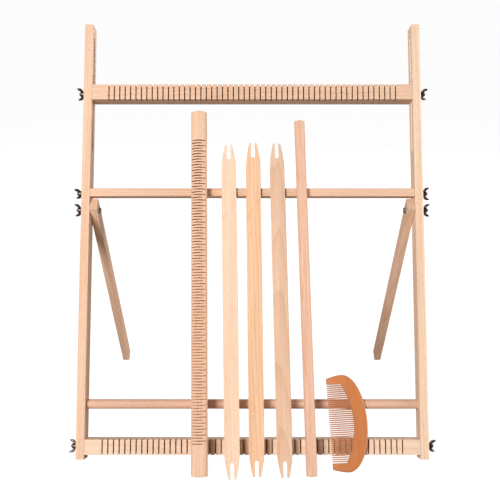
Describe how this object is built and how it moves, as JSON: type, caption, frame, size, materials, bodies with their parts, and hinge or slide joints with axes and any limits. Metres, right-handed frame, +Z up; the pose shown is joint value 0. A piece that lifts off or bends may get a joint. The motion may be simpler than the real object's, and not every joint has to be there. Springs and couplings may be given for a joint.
{
  "type": "tabletop weaving loom",
  "caption": "Beech frame loom leaning on folding legs, with notched beams, heddle bar, stick shuttles, shed stick and comb standing against it.",
  "frame": {"origin": "on the table, under the middle of the whole set's bounding box", "axes": "+Z up, +X to the weaver's right, +Y away from the weaver, towards the folding legs"},
  "size_m": [0.522, 0.4052, 0.595],
  "materials": {
    "beech": "bare sanded beech",
    "beech_light": "bare sanded beech, light",
    "beech_pink": "bare turned beech, pinkish",
    "comb_wood": "lacquered caramel wood",
    "steel": "zinc plated"
  },
  "bodies": {
    "frame": {"left_upright": "beech", "right_upright": "beech", "bottom_beam": "beech_light", "mid_crossbar": "beech", "lower_rod": "beech_pink", "crossbar_bolt_left": "steel", "crossbar_bolt_right": "steel", "leg_bolt_left": "steel", "leg_bolt_right": "steel", "bottom_beam_bolt_left": "steel", "bottom_beam_bolt_right": "steel", "crossbar_washer_left": "steel", "crossbar_washer_right": "steel", "leg_washer_left": "steel", "leg_washer_right": "steel", "bottom_beam_washer_left": "steel", "bottom_beam_washer_right": "steel"},
    "top_beam": {"top_beam": "beech_light", "top_beam_bolt_left": "steel", "top_beam_bolt_right": "steel", "top_beam_washer_left": "steel", "top_beam_washer_right": "steel"},
    "left_leg": {"left_leg": "beech"},
    "right_leg": {"right_leg": "beech"},
    "top_beam_wing_nut_left": {"top_beam_wing_nut_left": "steel"},
    "top_beam_wing_nut_right": {"top_beam_wing_nut_right": "steel"},
    "crossbar_wing_nut_left": {"crossbar_wing_nut_left": "steel"},
    "crossbar_wing_nut_right": {"crossbar_wing_nut_right": "steel"},
    "leg_wing_nut_left": {"leg_wing_nut_left": "steel"},
    "leg_wing_nut_right": {"leg_wing_nut_right": "steel"},
    "bottom_beam_wing_nut_left": {"bottom_beam_wing_nut_left": "steel"},
    "bottom_beam_wing_nut_right": {"bottom_beam_wing_nut_right": "steel"},
    "heddle_bar": {"heddle_bar": "beech"},
    "shuttle_left": {"shuttle_left": "beech_light"},
    "shuttle_middle": {"shuttle_middle": "beech_light"},
    "shuttle_right": {"shuttle_right": "beech_light"},
    "shed_stick": {"shed_stick": "beech_pink"},
    "comb": {"comb": "comb_wood"}
  },
  "joints": [
    {"name": "top_beam_height", "type": "slide", "parent": "frame", "child": "top_beam", "axis": [0, 0.3947, 0.9188], "range_m": [-0.015, 0.08]},
    {"name": "left_leg_fold", "type": "hinge", "parent": "frame", "child": "left_leg", "pos_m": [-0.2315, -0.00721, 0.33361], "axis": [1, 0, 0], "range_deg": [-50, 77]},
    {"name": "right_leg_fold", "type": "hinge", "parent": "frame", "child": "right_leg", "pos_m": [0.2315, -0.00721, 0.33361], "axis": [1, 0, 0], "range_deg": [-50, 77]},
    {"name": "top_beam_nut_left_turn", "type": "hinge", "parent": "top_beam", "child": "top_beam_wing_nut_left", "pos_m": [-0.2545, 0.06191, 0.49449], "axis": [-1, 0, 0], "continuous": true},
    {"name": "top_beam_nut_right_turn", "type": "hinge", "parent": "top_beam", "child": "top_beam_wing_nut_right", "pos_m": [0.2545, 0.06191, 0.49449], "axis": [1, 0, 0], "continuous": true},
    {"name": "crossbar_nut_left_turn", "type": "hinge", "parent": "frame", "child": "crossbar_wing_nut_left", "pos_m": [-0.2545, 0.00246, 0.35612], "axis": [-1, 0, 0], "continuous": true},
    {"name": "crossbar_nut_right_turn", "type": "hinge", "parent": "frame", "child": "crossbar_wing_nut_right", "pos_m": [0.2545, 0.00246, 0.35612], "axis": [1, 0, 0], "continuous": true},
    {"name": "leg_nut_left_turn", "type": "hinge", "parent": "frame", "child": "leg_wing_nut_left", "pos_m": [-0.2545, -0.00721, 0.33361], "axis": [-1, 0, 0], "continuous": true},
    {"name": "leg_nut_right_turn", "type": "hinge", "parent": "frame", "child": "leg_wing_nut_right", "pos_m": [0.2545, -0.00721, 0.33361], "axis": [1, 0, 0], "continuous": true},
    {"name": "bottom_beam_nut_left_turn", "type": "hinge", "parent": "frame", "child": "bottom_beam_wing_nut_left", "pos_m": [-0.2545, -0.14146, 0.02113], "axis": [-1, 0, 0], "continuous": true},
    {"name": "bottom_beam_nut_right_turn", "type": "hinge", "parent": "frame", "child": "bottom_beam_wing_nut_right", "pos_m": [0.2545, -0.14146, 0.02113], "axis": [1, 0, 0], "continuous": true},
    {"name": "heddle_bar_takes_off", "type": "slide", "parent": "frame", "child": "heddle_bar", "axis": [0, -1, 0], "range_m": [0, 0.25]},
    {"name": "shuttle_left_takes_off", "type": "slide", "parent": "frame", "child": "shuttle_left", "axis": [0, -1, 0], "range_m": [0, 0.25]},
    {"name": "shuttle_middle_takes_off", "type": "slide", "parent": "frame", "child": "shuttle_middle", "axis": [0, -1, 0], "range_m": [0, 0.25]},
    {"name": "shuttle_right_takes_off", "type": "slide", "parent": "frame", "child": "shuttle_right", "axis": [0, -1, 0], "range_m": [0, 0.25]},
    {"name": "shed_stick_takes_off", "type": "slide", "parent": "frame", "child": "shed_stick", "axis": [0, -1, 0], "range_m": [0, 0.25]},
    {"name": "comb_takes_off", "type": "slide", "parent": "frame", "child": "comb", "axis": [0, -1, 0], "range_m": [0, 0.25]}
  ]
}
